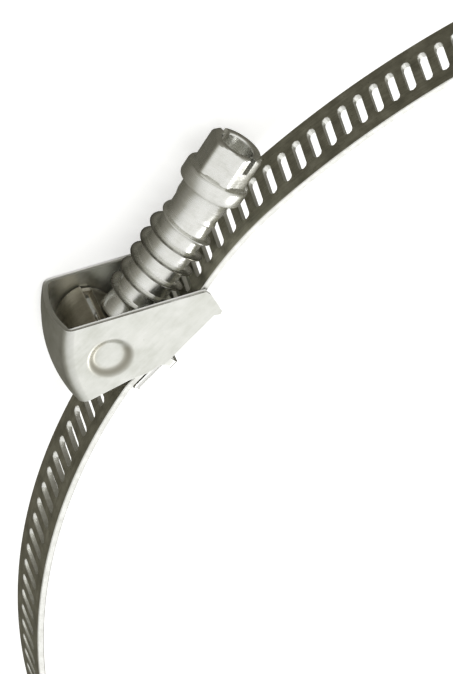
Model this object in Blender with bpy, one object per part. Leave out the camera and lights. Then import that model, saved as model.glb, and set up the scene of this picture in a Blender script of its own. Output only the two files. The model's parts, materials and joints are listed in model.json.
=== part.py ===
"""Swivel-screw hose clamp: a perforated steel band, a housing and a worm screw that swings open.

Units are millimetres in the tables below and metres in the mesh. The design is drawn in the
clamp's own plane: `along` runs from the swivel pivot towards the screw head, `out` points away
from the middle of the band loop, and `across` is the loop's axis. The world frame is
X = -along, Y = -out, Z = across, with its origin in the middle of the saddle's underside.
"""
import math

import bmesh
import bpy
from mathutils import Matrix, Vector

MM = 0.001
GAP = 0.3                   # clearance between neighbouring pieces

# Band
BAND_WIDTH = 12.7
BAND_THICKNESS = 1.1
SLOT_PITCH = 3.175
SLOT_LENGTH = 6.9
SLOT_WIDTH = 1.35
SLOT_SKEW = 0.32            # each slot end leans this far along the band
REAR_ARC_PEAK = (15.0, -5.55)   # highest point of the arc behind the housing, were it carried on
REAR_ARC_RADIUS = 91.3      # outer face of the band behind the housing
REAR_ARC_END = 150.0        # degrees
FRONT_ARC_PEAK = (24.8, -2.2)
FRONT_ARC_RADIUS = 155.1    # outer face of the band in front of the housing
FRONT_ARC_START = 65.2      # degrees
LOOP_SPLIT = 0.4883         # share of the far loop's turn taken by its first arc
REAR_BEND_RADIUS = 6.0      # where the band leaves the saddle
FREE_BEND_RADIUS = 60.0     # where the free end dips under the screw
FIXED_END = 2.3             # along
FIXED_MARGIN = 3.09         # plain steel between the fixed end and the first slot cell
FREE_TIP = 10.2             # along

# Housing
SHEET = 0.9
HOUSING_SIDE_GAP = 0.35     # band edge to cheek
CHEEK_FOOT = -8.9           # out
HOOK_REAR = 4.2             # along
HOOK_LENGTH = 1.6
HOOK_REACH = 1.5            # how far each hook reaches under the saddle
HOOK_THICKNESS = 0.75
REAR_WALL_BULGE = 1.4       # how far its side profile bows out
REAR_CORNER_RADIUS = 1.8
REAR_WALL_CROWN = 0.9       # how far the rear wall stands out halfway between the cheeks
REAR_WALL_OFFSET = 0.65
DIMPLE_RADIUS = 4.0
DIMPLE_FLOOR_RADIUS = 2.3
DIMPLE_DEPTH = 0.75
BOSS_RADIUS = 3.2
BOSS_TIP_RADIUS = 2.6
BOSS_HEIGHT = 0.8

REAR_WALL_BOTTOM = (-9.3, -3.1)
REAR_WALL_TOP = (-0.25, 9.9)

# Saddle
SADDLE_TOP = -8.75          # out
SADDLE_REAR = -2.9          # along
SADDLE_FRONT = 16.1         # along
SADDLE_THICKNESS = 0.9
SADDLE_EDGE = 0.3           # turned-down edge of both ends
POCKET_DEPTH = 0.25         # pressed up into the underside where each hook bears
POCKET_MARGIN = 0.3         # room round each hook in its pocket

# Screw
SCREW_TILT = 13.3           # degrees between the screw and the saddle
SCREW_TAIL = (1.8, -2.3)    # along, out of the inner end of the washer
SCREW_CREST_RADIUS = 5.3
SCREW_ROOT_RADIUS = 4.0
THREAD_PITCH = 3.175
THREAD_START = 6.2
THREAD_END = 26.6
THREAD_CREST_WIDTH = 0.7
THREAD_ROOT_WIDTH = 1.7
FLARE_RADIUS = 4.55
COLLAR_START = 30.6
COLLAR_LENGTH = 3.1
COLLAR_RADIUS = 5.4
HEX_LENGTH = 6.2
HEX_ACROSS_FLATS = 8.7
HEX_TURN = 23.4             # degrees from the screw's upper side to a corner of the hex
RECESS_RADIUS = 3.0
RECESS_DEPTH = 4.2
DRIVER_SLOT_WIDTH = 1.2
DRIVER_SLOT_DEPTH = 3.0
JOURNAL_RADIUS = 2.7
PEEN_RADIUS = 3.6
PEEN_THICKNESS = 0.6
WASHER_RADIUS = 4.4
WASHER_THICKNESS = 1.4

# Swivel
SWIVEL_SHEET = 0.8
SWIVEL_LEG_RADIUS = 4.8
SWIVEL_WEB_RADIUS = 5.7
SWIVEL_WEB_START = 60.0     # degrees about the pivot
SWIVEL_WEB_END = 150.0
TAIL_PLATE = 1.1

REAR_ARC_CENTRE = (REAR_ARC_PEAK[0], REAR_ARC_PEAK[1] - REAR_ARC_RADIUS)
FRONT_ARC_CENTRE = (FRONT_ARC_PEAK[0], FRONT_ARC_PEAK[1] - FRONT_ARC_RADIUS)
ORIGIN_ALONG = 0.5 * (SADDLE_REAR + SADDLE_FRONT)
HALF_INSIDE = 0.5 * BAND_WIDTH + HOUSING_SIDE_GAP
HALF_OUTSIDE = HALF_INSIDE + SHEET
SADDLE_HALF_WIDTH = HALF_INSIDE - GAP
SADDLE_UNDERSIDE = SADDLE_TOP - SADDLE_THICKNESS
FIXED_CENTRELINE = SADDLE_TOP + GAP + 0.5 * BAND_THICKNESS
LEG_OUTER = HALF_INSIDE - GAP
LEG_INNER = LEG_OUTER - SWIVEL_SHEET
PLATE_START = WASHER_THICKNESS + GAP
SHOULDER = PLATE_START + TAIL_PLATE + GAP
COLLAR_END = COLLAR_START + COLLAR_LENGTH
SCREW_END = COLLAR_END + HEX_LENGTH

PIVOT = Vector((0.0, 0.0))
SCREW_DIRECTION = Vector((math.cos(math.radians(SCREW_TILT)), math.sin(math.radians(SCREW_TILT))))
SCREW_NORMAL = Vector((-SCREW_DIRECTION.y, SCREW_DIRECTION.x))


def world(along, out, across):
    """World position in metres of a point given in the clamp's plane in millimetres."""
    return Vector((ORIGIN_ALONG - along, SADDLE_UNDERSIDE - out, across)) * MM


def polar(centre, radius, degrees):
    """Point of a circle in the clamp's plane."""
    angle = math.radians(degrees)
    return Vector((centre[0] + radius * math.cos(angle), centre[1] + radius * math.sin(angle)))


def material(name, colour, roughness):
    """A metal with one colour and roughness."""
    made = bpy.data.materials.new(name)
    made.use_nodes = True
    shader = made.node_tree.nodes["Principled BSDF"]
    shader.inputs["Base Color"].default_value = (*colour, 1.0)
    shader.inputs["Roughness"].default_value = roughness
    shader.inputs["Metallic"].default_value = 1.0
    return made


def mesh_object(name, vertices, faces, finish=None, sharp=35.0):
    """An object from vertices in metres, with its faces turned outward and shaded smooth."""
    mesh = bpy.data.meshes.new(name)
    mesh.from_pydata([tuple(v) for v in vertices], [], faces)
    work = bmesh.new()
    work.from_mesh(mesh)
    bmesh.ops.recalc_face_normals(work, faces=work.faces)
    work.to_mesh(mesh)
    work.free()
    mesh.shade_smooth()
    mesh.set_sharp_from_angle(angle=math.radians(sharp))
    made = bpy.data.objects.new(name, mesh)
    bpy.context.scene.collection.objects.link(made)
    if finish:
        mesh.materials.append(finish)
    return made


def loft(name, rings, finish=None, sharp=35.0):
    """A closed solid through a list of rings with equal numbers of points, capped at both ends."""
    count = len(rings[0])
    vertices = [point for ring in rings for point in ring]
    faces = []
    for row in range(len(rings) - 1):
        for step in range(count):
            a = row * count + step
            b = row * count + (step + 1) % count
            faces.append((a, b, b + count, a + count))
    faces.append(tuple(range(count)))
    last = (len(rings) - 1) * count
    faces.append(tuple(range(last, last + count)))
    return mesh_object(name, vertices, faces, finish, sharp)


def prism(name, outline, low, high, finish=None):
    """An outline in the clamp's plane, extruded across the band."""
    rings = [[world(p[0], p[1], across) for p in outline] for across in (low, high)]
    return loft(name, rings, finish)


def turned(name, profile, segments, finish=None):
    """A solid turned about the screw axis from (distance, radius) pairs, closed at both ends."""
    rings = []
    for distance, radius in profile:
        rings.append([screw_point(distance, radius, 360.0 * k / segments) for k in range(segments)])
    return loft(name, rings, finish)


def screw_point(distance, radius, degrees):
    """World point at a distance along the screw axis, a radius from it and a turn about it."""
    angle = math.radians(degrees)
    centre = Vector(SCREW_TAIL) + SCREW_DIRECTION * distance
    spot = centre + SCREW_NORMAL * (radius * math.cos(angle))
    return world(spot.x, spot.y, radius * math.sin(angle))


def boolean(target, cutter, operation):
    """Joins, cuts or crosses target with cutter, which is then a wire guide."""
    change = target.modifiers.new(cutter.name, "BOOLEAN")
    change.operation = operation
    change.solver = "EXACT"
    change.object = cutter
    cutter.hide_render = True
    cutter.display_type = "WIRE"


def place_origin(target, point):
    """Moves an object's origin to a world point and leaves its shape where it is."""
    target.data.transform(Matrix.Translation(-point))
    target.location = point


def fillet_centre(arc_centre, arc_radius, line_point, line_direction, radius):
    """Centre of a bend that is tangent inside an arc and below a line."""
    below = Vector((line_direction.y, -line_direction.x))
    if below.y > 0.0:
        below = -below
    base = Vector(line_point) + below * radius - Vector(arc_centre)
    reach = arc_radius - radius
    middle = base.dot(line_direction)
    half = math.sqrt(middle * middle - base.length_squared + reach * reach)
    near = min((-middle - half, -middle + half), key=abs)
    return Vector(arc_centre) + base + line_direction * near


def direction_angle(vector):
    """Angle of a vector in the clamp's plane, from 0 to 360 degrees."""
    return math.degrees(math.atan2(vector.y, vector.x)) % 360.0


def arc_segment(centre, radius, start, end):
    """An anticlockwise arc of the band's centreline, as a length and a point rule."""
    length = math.radians(end - start) * radius

    def rule(distance):
        angle = start + math.degrees(distance / radius)
        return polar(centre, radius, angle), polar((0.0, 0.0), 1.0, angle)
    return length, rule


def line_segment(start, end):
    """A straight stretch of the band's centreline, as a length and a point rule."""
    heading = (end - start).normalized()
    outward = Vector((heading.y, -heading.x))

    def rule(distance):
        return start + heading * distance, outward
    return (end - start).length, rule


def far_loop(start, start_heading, end, end_heading):
    """Two tangent arcs that close the loop between two points with given headings in degrees."""
    middle_heading = start_heading + (end_heading - start_heading) * LOOP_SPLIT
    sines = [math.sin(math.radians(h)) for h in (start_heading, middle_heading, end_heading)]
    cosines = [math.cos(math.radians(h)) for h in (start_heading, middle_heading, end_heading)]
    system = Matrix(((sines[1] - sines[0], sines[2] - sines[1]),
                     (cosines[0] - cosines[1], cosines[1] - cosines[2])))
    first, second = system.inverted() @ (end - start)
    first_centre = start - polar((0.0, 0.0), first, start_heading - 90.0)
    joint = polar(first_centre, first, middle_heading - 90.0)
    second_centre = joint - polar((0.0, 0.0), second, middle_heading - 90.0)
    return [arc_segment(first_centre, first, start_heading - 90.0, middle_heading - 90.0),
            arc_segment(second_centre, second, middle_heading - 90.0, end_heading - 90.0)]


def free_end_line():
    """Point and direction of the free end's centreline, which runs below the thread crests."""
    drop = SCREW_CREST_RADIUS + GAP + 0.5 * BAND_THICKNESS
    return Vector(SCREW_TAIL) - SCREW_NORMAL * drop, SCREW_DIRECTION


def band_segments():
    """The centreline from the fixed end, round the loop, to the free tip."""
    half = 0.5 * BAND_THICKNESS
    rear_radius = REAR_ARC_RADIUS - half
    front_radius = FRONT_ARC_RADIUS - half
    flat = Vector((1.0, 0.0))
    rear_bend = fillet_centre(REAR_ARC_CENTRE, rear_radius, (0.0, FIXED_CENTRELINE), flat,
                              REAR_BEND_RADIUS)
    rear_leave = direction_angle(rear_bend - Vector(REAR_ARC_CENTRE))
    free_point, free_direction = free_end_line()
    free_bend = fillet_centre(FRONT_ARC_CENTRE, front_radius, free_point, free_direction,
                              FREE_BEND_RADIUS)
    free_leave = direction_angle(free_bend - Vector(FRONT_ARC_CENTRE))
    free_turn = 90.0 + SCREW_TILT
    free_start = polar(free_bend, FREE_BEND_RADIUS, free_turn)
    free_length = (free_start.x - FREE_TIP) / free_direction.x
    rear_end = polar(REAR_ARC_CENTRE, rear_radius, REAR_ARC_END)
    front_start = polar(FRONT_ARC_CENTRE, front_radius, FRONT_ARC_START)
    return [
        line_segment(Vector((FIXED_END, FIXED_CENTRELINE)), Vector((rear_bend.x, FIXED_CENTRELINE))),
        arc_segment(rear_bend, REAR_BEND_RADIUS, 90.0, rear_leave),
        arc_segment(REAR_ARC_CENTRE, rear_radius, rear_leave, REAR_ARC_END),
        *far_loop(rear_end, REAR_ARC_END + 90.0, front_start, FRONT_ARC_START + 450.0),
        arc_segment(FRONT_ARC_CENTRE, front_radius, FRONT_ARC_START, free_leave),
        arc_segment(free_bend, FREE_BEND_RADIUS, free_leave, free_turn),
        line_segment(free_start, free_start - free_direction * free_length),
    ]


def band_point(segments, distance, height, across):
    """World point at a distance along the band, a height above its centreline and a width."""
    left = distance
    for index, (length, rule) in enumerate(segments):
        if left <= length or index == len(segments) - 1:
            spot, outward = rule(left)
            break
        left -= length
    spot = spot + outward * height
    return world(spot.x, spot.y, across)


def slot_outline(middle):
    """Six corners of one slot, as distance along the band and width across it."""
    half_width = 0.5 * SLOT_WIDTH
    shoulder = 0.5 * SLOT_LENGTH - 0.6 * half_width
    tip = 0.5 * SLOT_LENGTH
    corners = [(half_width, -shoulder), (half_width, shoulder), (0.0, tip),
               (-half_width, shoulder), (-half_width, -shoulder), (0.0, -tip)]
    return [(middle + x + SLOT_SKEW * y / tip, y) for x, y in corners]


def make_band(finish):
    """The perforated strip: one cell for each slot, with plain steel at both ends."""
    segments = band_segments()
    total = sum(length for length, _ in segments)
    lead = FIXED_MARGIN
    cells = int((total - lead - 0.5 * SLOT_PITCH) / SLOT_PITCH)
    edges = [0.0, *(lead + SLOT_PITCH * k for k in range(cells + 1)), total]
    half_width = 0.5 * BAND_WIDTH
    vertices = []
    faces = []
    for height in (0.5 * BAND_THICKNESS, -0.5 * BAND_THICKNESS):
        for edge in edges:
            for across in (-half_width, half_width):
                vertices.append(band_point(segments, edge, height, across))
    side = 2 * len(edges)
    first_slot = len(vertices)
    for height in (0.5 * BAND_THICKNESS, -0.5 * BAND_THICKNESS):
        for cell in range(cells):
            for distance, across in slot_outline(lead + SLOT_PITCH * (cell + 0.5)):
                vertices.append(band_point(segments, distance, height, across))
    slot_side = 6 * cells
    last_edge = 2 * (len(edges) - 1)
    faces.append((0, 1, side + 1, side))
    faces.append((last_edge, last_edge + 1, side + last_edge + 1, side + last_edge))
    for cell in range(len(edges) - 1):
        low = 2 * cell
        for across in (0, 1):
            faces.append((low + across, low + 2 + across, side + low + 2 + across, side + low + across))
        for layer in (0, 1):
            corner = [layer * side + low + k for k in (0, 1, 3, 2)]
            if cell in (0, cells + 1):
                faces.append(tuple(corner))
                continue
            slot = first_slot + layer * slot_side + 6 * (cell - 1)
            faces.append((corner[0], corner[1], slot + 2, slot + 3, slot + 4, slot + 5))
            faces.append((corner[1], corner[2], slot + 1, slot + 2))
            faces.append((corner[2], corner[3], slot + 5, slot, slot + 1))
            faces.append((corner[3], corner[0], slot + 5))
            if layer == 0:
                for step in range(6):
                    after = (step + 1) % 6
                    faces.append((slot + step, slot + after, slot + slot_side + after,
                                  slot + slot_side + step))
    return mesh_object("band", vertices, faces, finish)


def cheek_outline():
    """Side view of the housing's sheet, which runs past the rear wall that trims it."""
    bottom = Vector(REAR_WALL_BOTTOM)
    top = Vector(REAR_WALL_TOP)
    chord = top - bottom
    outward = Vector((-chord.y, chord.x)).normalized()
    rear = [bottom + outward * 6.0, top + outward * 6.0]
    return [
        *rear,
        (18.2, -3.8), (18.85, -4.4), (18.85, -5.7), (17.7, -9.4), (17.0, -9.7),
        (16.2, CHEEK_FOOT), (HOOK_REAR + HOOK_LENGTH, CHEEK_FOOT), (HOOK_REAR, CHEEK_FOOT),
        (3.8, -8.3), (1.4, -7.65), (-1.4, -6.0), (-7.6, -3.55),
    ]


def rear_rings(inset, reach):
    """Rings of the housing's plan outline, carried up its curved rear wall."""
    bottom = Vector(REAR_WALL_BOTTOM)
    top = Vector(REAR_WALL_TOP)
    chord = top - bottom
    inward = Vector((chord.y, -chord.x)).normalized()
    half = HALF_OUTSIDE - inset
    radius = REAR_CORNER_RADIUS - inset
    plan = []
    for side in (-1.0, 1.0):
        corner = []
        for step in range(5):
            angle = math.radians(90.0 * step / 4.0)
            depth = radius * (1.0 - math.cos(angle)) - REAR_WALL_OFFSET
            corner.append((depth, side * (half - radius + radius * math.sin(angle))))
        plan.extend(reversed(corner) if side < 0.0 else corner)
        if side < 0.0:
            plan.extend([(-REAR_WALL_OFFSET - 0.75 * REAR_WALL_CROWN, -0.33 * half),
                         (-REAR_WALL_OFFSET - REAR_WALL_CROWN, 0.0),
                         (-REAR_WALL_OFFSET - 0.75 * REAR_WALL_CROWN, 0.33 * half)])
    plan.extend([(reach, half), (reach, -half)])
    rings = []
    for step in range(-2, 10):
        share = step / 7.0
        bulge = REAR_WALL_BULGE * 4.0 * share * (1.0 - share)
        centre = bottom + chord * share - inward * (bulge - inset)
        rings.append([])
        for depth, across in plan:
            spot = centre + inward * depth
            rings[-1].append(world(spot.x, spot.y, across))
    return rings


def frustum(name, low_radius, high_radius, low, high, segments=24):
    """A cone frustum about the pivot, between two heights across the band."""
    rings = []
    for across, radius in ((low, low_radius), (high, high_radius)):
        rings.append([world(*polar(PIVOT, radius, 360.0 * k / segments), across) for k in range(segments)])
    return loft(name, rings)


def make_hook(side, label):
    """A tab that runs down from a cheek and turns in under the saddle."""
    top = CHEEK_FOOT + 0.5
    turn = SADDLE_UNDERSIDE - GAP
    low = turn - HOOK_THICKNESS
    section = [(HALF_OUTSIDE, top), (HALF_OUTSIDE, low + 0.3), (HALF_OUTSIDE - 0.3, low),
               (SADDLE_HALF_WIDTH - HOOK_REACH, low), (SADDLE_HALF_WIDTH - HOOK_REACH, turn),
               (HALF_INSIDE, turn), (HALF_INSIDE, top)]
    rings = [[world(along, out, side * across) for across, out in section]
             for along in (HOOK_REAR, HOOK_REAR + HOOK_LENGTH)]
    return loft("hook_" + label, rings)


def make_housing(finish):
    """Two cheeks and a curved rear wall from one sheet, with pivot dimples and saddle hooks."""
    housing = prism("housing", cheek_outline(), -HALF_OUTSIDE - 1.0, HALF_OUTSIDE + 1.0, finish)
    boolean(housing, loft("housing_outside", rear_rings(0.0, 45.0)), "INTERSECT")
    inside = loft("housing_inside", rear_rings(SHEET, 50.0))
    boolean(housing, inside, "DIFFERENCE")
    for side, label in ((-1.0, "lower"), (1.0, "upper")):
        boss = frustum("boss_" + label, BOSS_RADIUS, BOSS_TIP_RADIUS,
                       side * (HALF_INSIDE + 0.5 * SHEET), side * (HALF_INSIDE - BOSS_HEIGHT))
        boolean(housing, boss, "UNION")
        outer = HALF_OUTSIDE + 0.5
        slope = (DIMPLE_RADIUS - DIMPLE_FLOOR_RADIUS) / DIMPLE_DEPTH
        dimple = frustum("dimple_" + label, DIMPLE_RADIUS + 0.5 * slope, DIMPLE_FLOOR_RADIUS,
                         side * outer, side * (HALF_OUTSIDE - DIMPLE_DEPTH))
        boolean(housing, dimple, "DIFFERENCE")
        boolean(housing, make_hook(side, label), "UNION")
    return housing


def make_saddle(finish):
    """The plate under the band's fixed end, with eased ends and pockets for the hooks."""
    low = SADDLE_UNDERSIDE - SADDLE_EDGE
    outline = [
        (SADDLE_REAR + 0.4, SADDLE_TOP), (SADDLE_REAR, SADDLE_TOP - 0.3), (SADDLE_REAR, low),
        (SADDLE_REAR + 0.7, low), (SADDLE_REAR + 1.0, SADDLE_UNDERSIDE),
        (SADDLE_FRONT - 1.0, SADDLE_UNDERSIDE), (SADDLE_FRONT - 0.7, low), (SADDLE_FRONT, low),
        (SADDLE_FRONT, SADDLE_TOP - 0.3), (SADDLE_FRONT - 0.4, SADDLE_TOP),
    ]
    saddle = prism("saddle", outline, -SADDLE_HALF_WIDTH, SADDLE_HALF_WIDTH, finish)
    rear = HOOK_REAR - POCKET_MARGIN
    front = HOOK_REAR + HOOK_LENGTH + POCKET_MARGIN
    pocket = [(rear, SADDLE_UNDERSIDE - 1.0), (front, SADDLE_UNDERSIDE - 1.0),
              (front, SADDLE_UNDERSIDE + POCKET_DEPTH), (rear, SADDLE_UNDERSIDE + POCKET_DEPTH)]
    inner = SADDLE_HALF_WIDTH - HOOK_REACH - POCKET_MARGIN
    for side, label in ((-1.0, "lower"), (1.0, "upper")):
        cutter = prism("pocket_" + label, pocket, side * inner, side * (SADDLE_HALF_WIDTH + 1.0))
        boolean(saddle, cutter, "DIFFERENCE")
    return saddle


def swivel_leg_outline():
    """Side view of the swivel: a disc about the pivot, a wider web sector and the tail plate."""
    outline = []
    for step in range(9):
        angle = SWIVEL_WEB_START + (SWIVEL_WEB_END - SWIVEL_WEB_START) * step / 8.0
        outline.append(polar(PIVOT, SWIVEL_WEB_RADIUS, angle))
    plate_low = -SWIVEL_LEG_RADIUS + 0.2
    tail = Vector(SCREW_TAIL)
    for step in range(1, 8):
        outline.append(polar(PIVOT, SWIVEL_LEG_RADIUS, SWIVEL_WEB_END + 17.0 * step))
    outline.append(tail + SCREW_DIRECTION * (PLATE_START - TAIL_PLATE) + SCREW_NORMAL * plate_low)
    outline.append(tail + SCREW_DIRECTION * (PLATE_START + TAIL_PLATE) + SCREW_NORMAL * plate_low)
    outline.append(tail + SCREW_DIRECTION * (PLATE_START + TAIL_PLATE) - SCREW_NORMAL * plate_low)
    return outline


def make_swivel(finish):
    """The bracket that carries the screw: two legs, a curved web and a plate for the tail."""
    swivel = prism("swivel", swivel_leg_outline(), -LEG_OUTER, LEG_OUTER, finish)
    web_inner = SWIVEL_WEB_RADIUS - SWIVEL_SHEET
    plate_face = Vector(SCREW_TAIL) + SCREW_DIRECTION * PLATE_START
    plate_top = SWIVEL_LEG_RADIUS - 0.1
    chamber = [
        plate_face - SCREW_NORMAL * 12.0, plate_face + SCREW_NORMAL * plate_top,
        plate_face + SCREW_NORMAL * plate_top + SCREW_DIRECTION * 9.0, polar(PIVOT, 9.0, 50.0),
    ]
    for step in range(8):
        share = step / 7.0
        angle = SWIVEL_WEB_START - 4.0 + (SWIVEL_WEB_END - SWIVEL_WEB_START + 4.0) * share
        chamber.append(polar(PIVOT, web_inner, angle))
    chamber.append(polar(PIVOT, 12.0, SWIVEL_WEB_END + 8.0))
    chamber.append(polar(PIVOT, 16.0, 225.0))
    boolean(swivel, prism("swivel_chamber", chamber, -LEG_INNER, LEG_INNER), "DIFFERENCE")
    hole = BOSS_RADIUS + GAP
    for side, label in ((-1.0, "lower"), (1.0, "upper")):
        cutter = frustum("pivot_hole_" + label, hole, hole, side * (LEG_INNER - 0.2), side * (LEG_OUTER + 1.0))
        boolean(swivel, cutter, "DIFFERENCE")
    bore = JOURNAL_RADIUS + GAP
    boolean(swivel, turned("journal_hole", ((-2.0, bore), (6.0, bore)), 24), "DIFFERENCE")
    return swivel


def make_thread():
    """A ridge wound round the screw, tapered at both ends, with its foot inside the core."""
    steps = 24
    turns = (THREAD_END - THREAD_START - THREAD_ROOT_WIDTH) / THREAD_PITCH
    count = int(steps * turns)
    foot = SCREW_ROOT_RADIUS - 0.4
    rings = []
    for step in range(count + 1):
        fade = min(1.0, (step + 1) / 8.0, (count - step + 1) / 8.0)
        top = SCREW_ROOT_RADIUS + (SCREW_CREST_RADIUS - SCREW_ROOT_RADIUS) * fade
        middle = THREAD_START + 0.5 * THREAD_ROOT_WIDTH + THREAD_PITCH * step / steps
        degrees = -360.0 * step / steps
        rings.append([
            screw_point(middle - 0.5 * THREAD_ROOT_WIDTH, foot, degrees),
            screw_point(middle - 0.5 * THREAD_CREST_WIDTH, top, degrees),
            screw_point(middle + 0.5 * THREAD_CREST_WIDTH, top, degrees),
            screw_point(middle + 0.5 * THREAD_ROOT_WIDTH, foot, degrees),
        ])
    return loft("thread", rings)


def make_screw(finish):
    """The worm screw: journal, flare, threaded shank, neck, collar and hollow hex head."""
    bevel = 0.35
    peen_start = -GAP - PEEN_THICKNESS
    profile = [
        (peen_start, PEEN_RADIUS - bevel), (peen_start + bevel, PEEN_RADIUS), (-GAP, PEEN_RADIUS),
        (-GAP, JOURNAL_RADIUS), (SHOULDER, JOURNAL_RADIUS), (SHOULDER, FLARE_RADIUS),
        (SHOULDER + 0.8, FLARE_RADIUS), (THREAD_START - 0.4, SCREW_ROOT_RADIUS),
        (COLLAR_START - 0.4, SCREW_ROOT_RADIUS), (COLLAR_START, SCREW_ROOT_RADIUS + 0.4),
        (COLLAR_START, COLLAR_RADIUS - bevel), (COLLAR_START + bevel, COLLAR_RADIUS),
        (COLLAR_END - bevel, COLLAR_RADIUS), (COLLAR_END, COLLAR_RADIUS - bevel),
    ]
    screw = turned("screw", profile, 32, finish)
    boolean(screw, make_thread(), "UNION")
    corner = 0.5 * HEX_ACROSS_FLATS / math.cos(math.radians(30.0))
    rings = []
    for distance, radius in ((COLLAR_END - 1.0, corner), (SCREW_END - 0.5, corner), (SCREW_END, corner - 0.4)):
        rings.append([screw_point(distance, radius, HEX_TURN + 60.0 * k) for k in range(6)])
    boolean(screw, loft("hex", rings), "UNION")
    recess = ((SCREW_END - RECESS_DEPTH, RECESS_RADIUS - 0.4), (SCREW_END + 1.0, RECESS_RADIUS))
    boolean(screw, turned("recess", recess, 24), "DIFFERENCE")
    rings = []
    half_slot = math.degrees(math.atan2(0.5 * DRIVER_SLOT_WIDTH, 8.0))
    across_flats = HEX_TURN + 90.0
    turns = (across_flats - half_slot, across_flats + half_slot,
             across_flats + 180.0 - half_slot, across_flats + 180.0 + half_slot)
    for distance in (SCREW_END - DRIVER_SLOT_DEPTH, SCREW_END + 1.0):
        rings.append([screw_point(distance, 8.0, turn) for turn in turns])
    boolean(screw, loft("driver_slot", rings), "DIFFERENCE")
    return screw


def make_washer(finish):
    """The retaining washer on the screw's journal, behind the swivel's tail plate."""
    bore = JOURNAL_RADIUS + GAP
    bevel = 0.2
    profile = ((0.0, WASHER_RADIUS - bevel), (bevel, WASHER_RADIUS),
               (WASHER_THICKNESS - bevel, WASHER_RADIUS), (WASHER_THICKNESS, WASHER_RADIUS - bevel))
    washer = turned("tail_washer", profile, 32, finish)
    boolean(washer, turned("washer_bore", ((-1.0, bore), (WASHER_THICKNESS + 1.0, bore)), 24), "DIFFERENCE")
    return washer


def main():
    for old in list(bpy.data.objects):
        bpy.data.objects.remove(old, do_unlink=True)
    strip = material("rolled_stainless_strip", (0.16, 0.155, 0.13), 0.38)
    pressed = material("pressed_stainless_sheet", (0.62, 0.62, 0.60), 0.36)
    bracket = material("pressed_plain_steel", (0.33, 0.30, 0.25), 0.45)
    plated = material("zinc_plated_steel", (0.70, 0.70, 0.68), 0.28)
    make_band(strip)
    make_housing(pressed)
    make_saddle(pressed)
    pivot = bpy.data.objects.new("swivel_axis", None)
    pivot.location = world(*PIVOT, 0.0)
    bpy.context.scene.collection.objects.link(pivot)
    swivel = make_swivel(bracket)
    screw = make_screw(plated)
    washer = make_washer(plated)
    tail = world(*SCREW_TAIL, 0.0)
    for piece, origin in ((swivel, pivot.location.copy()), (screw, tail), (washer, tail)):
        place_origin(piece, origin)
        piece.parent = pivot
        piece.location = origin - pivot.location


main()
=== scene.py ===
"""Looks for a swivel-screw hose clamp: a slotted band, a pressed housing and a worm screw that swings.

Shapes are worked out in millimetres in the clamp's own plane, where a point is a complex number:
its real part runs `along` from the swivel pivot towards the screw head, and its imaginary part
runs `out`, away from the middle of the band loop. `across` is the loop's axis.
"""

import json
import logging
import math
from dataclasses import dataclass, field
from enum import Enum

import bmesh
import bpy
import numpy as np
from mathutils import Matrix, Vector

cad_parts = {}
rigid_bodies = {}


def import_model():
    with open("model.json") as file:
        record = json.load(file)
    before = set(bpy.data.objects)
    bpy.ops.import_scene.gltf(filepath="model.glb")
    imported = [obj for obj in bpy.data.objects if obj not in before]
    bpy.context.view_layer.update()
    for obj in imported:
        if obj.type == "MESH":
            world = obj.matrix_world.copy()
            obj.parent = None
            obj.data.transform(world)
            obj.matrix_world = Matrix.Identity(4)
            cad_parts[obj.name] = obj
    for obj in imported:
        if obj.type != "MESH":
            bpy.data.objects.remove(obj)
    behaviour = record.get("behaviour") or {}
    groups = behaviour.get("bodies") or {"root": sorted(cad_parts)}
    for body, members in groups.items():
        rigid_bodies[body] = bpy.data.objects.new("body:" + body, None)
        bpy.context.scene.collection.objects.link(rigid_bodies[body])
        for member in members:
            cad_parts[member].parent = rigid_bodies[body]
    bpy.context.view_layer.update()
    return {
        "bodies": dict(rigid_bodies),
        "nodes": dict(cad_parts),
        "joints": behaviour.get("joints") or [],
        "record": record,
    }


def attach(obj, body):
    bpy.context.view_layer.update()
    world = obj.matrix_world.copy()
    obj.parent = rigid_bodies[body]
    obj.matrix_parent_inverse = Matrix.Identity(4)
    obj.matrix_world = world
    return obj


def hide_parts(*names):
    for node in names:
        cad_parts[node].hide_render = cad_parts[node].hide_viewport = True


Array = np.ndarray
MM = 0.001
QUARTER = 0.5 * math.pi
UV_NAME = "surface_mm"
# The mesh value for wear and painted shade: rubbed rims and painted crest shade above 0, painted dimple shade
# below 0.
WEAR_AND_SHADE_NAME = "wear_and_shade"
log = logging.getLogger("hose_clamp")


class Body(Enum):
    """The moving bodies of the clamp."""
    CLAMP = "clamp"
    BRACKET = "bracket"
    WORM = "worm"


class Slot(Enum):
    """The record's material slots."""
    STRIP = "strip_steel"
    SHEET = "sheet_steel"
    BRACKET = "bracket_steel"
    PLATED = "plated_steel"


# ---------------------------------------------------------------- frames

@dataclass(frozen=True)
class ClampPlane:
    """The clamp's plane, laid into the world by its swivel pivot."""
    pivot_x: float
    pivot_y: float

    def world(self, spot: Array, across: Array) -> Array:
        """Turns plane points into world points.

        The plane is the world turned half a turn about the loop's axis: X = pivot - along and
        Y = pivot - out.

        Args:
            spot: complex points in the plane, in millimetres.
            across: heights along the loop's axis, in millimetres.

        Returns:
            World points in metres, with one more dimension of length three.
        """
        spot, across = np.broadcast_arrays(spot, across)
        return np.stack([self.pivot_x - spot.real, self.pivot_y - spot.imag, across], axis=-1) * MM


@dataclass(frozen=True)
class ScrewAxis:
    """The screw's axis in the clamp's plane, from the washer's inner end towards the head."""
    plane: ClampPlane
    tail: complex
    direction: complex

    def world(self, distance: Array, radius: Array, turn: Array) -> Array:
        """Turns cylinder coordinates about the screw into world points.

        Args:
            distance: along the axis from its tail, in millimetres.
            radius: from the axis, in millimetres.
            turn: about the axis in radians, from its outer side towards +Z.

        Returns:
            World points in metres.
        """
        spot = self.tail + self.direction * (distance + 1j * radius * np.cos(turn))
        return self.plane.world(spot, radius * np.sin(turn))


# ---------------------------------------------------------------- meshes

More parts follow.
